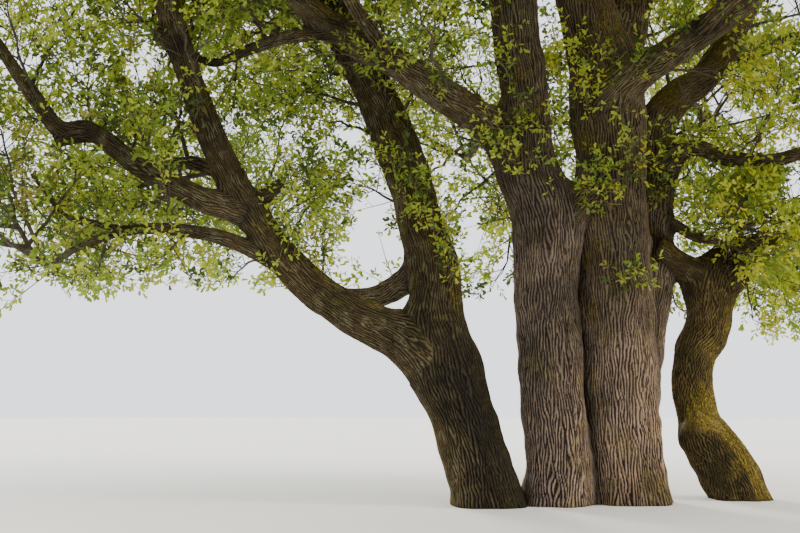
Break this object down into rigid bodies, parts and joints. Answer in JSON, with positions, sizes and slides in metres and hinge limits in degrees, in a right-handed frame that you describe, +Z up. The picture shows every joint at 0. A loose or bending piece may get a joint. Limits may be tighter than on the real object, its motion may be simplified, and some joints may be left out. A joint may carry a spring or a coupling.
{
  "type": "oak tree",
  "caption": "Old multi-stemmed oak tree in spring leaf: leaning stems from one base, long twisting boughs and a broad crown of young foliage.",
  "frame": {"origin": "centre of the flat cut under the main stem, at ground level", "axes": "+Z up; +X along the row of stems towards the twisted stem, the crown's longest way; -Y faces the front view"},
  "size_m": [18.0356, 14.1298, 14.9728],
  "materials": {
    "bark": "deeply ridged grey-brown oak bark, with grey-green lichen on upper sides",
    "mossy_bark": "ridged bark with yellow-green moss on its bends",
    "leaf": "thin fresh yellow-green young leaves, slightly glossy",
    "bronze_leaf": "thin bronze-tinted young leaves, slightly glossy"
  },
  "bodies": {
    "root": {"arm_right": "bark", "bough_back_high": "bark", "bough_back_left": "bark", "bough_back_low": "bark", "bough_back_side": "bark", "bough_cross": "bark", "bough_cross_side": "bark", "bough_far_right": "bark", "bough_front_left": "bark", "bough_front_mid": "bark", "bough_front_right": "bark", "bough_front_side": "bark", "bough_front_top": "bark", "bough_left": "bark", "bough_left_behind": "bark", "bough_left_long": "bark", "bough_left_low": "bark", "bough_left_rear": "bark", "bough_right": "bark", "bough_right_front": "bark", "bough_right_low": "bark", "foliage_back_high": "leaf", "foliage_back_left": "bronze_leaf", "foliage_back_low": "leaf", "foliage_back_right": "leaf", "foliage_back_side": "leaf", "foliage_centre_top": "leaf", "foliage_cross": "leaf", "foliage_far_left": "leaf", "foliage_far_right": "leaf", "foliage_front_left": "leaf", "foliage_front_mid": "bronze_leaf", "foliage_front_right": "leaf", "foliage_front_side": "leaf", "foliage_front_top": "leaf", "foliage_inner_left": "bronze_leaf", "foliage_left_behind": "leaf", "foliage_left_top": "leaf", "foliage_low_left": "bronze_leaf", "foliage_mid_top": "leaf", "foliage_rear_left": "leaf", "foliage_right": "bronze_leaf", "foliage_right_front": "bronze_leaf", "foliage_right_low": "leaf", "foliage_right_small": "leaf", "foliage_top": "bronze_leaf", "foliage_upper_left": "leaf", "graft_arm": "bark", "leader_back": "bark", "leader_centre": "bark", "stem_left": "bark", "stem_main": "bark", "stem_mid": "bark", "stem_right": "mossy_bark"}
  },
  "joints": []
}
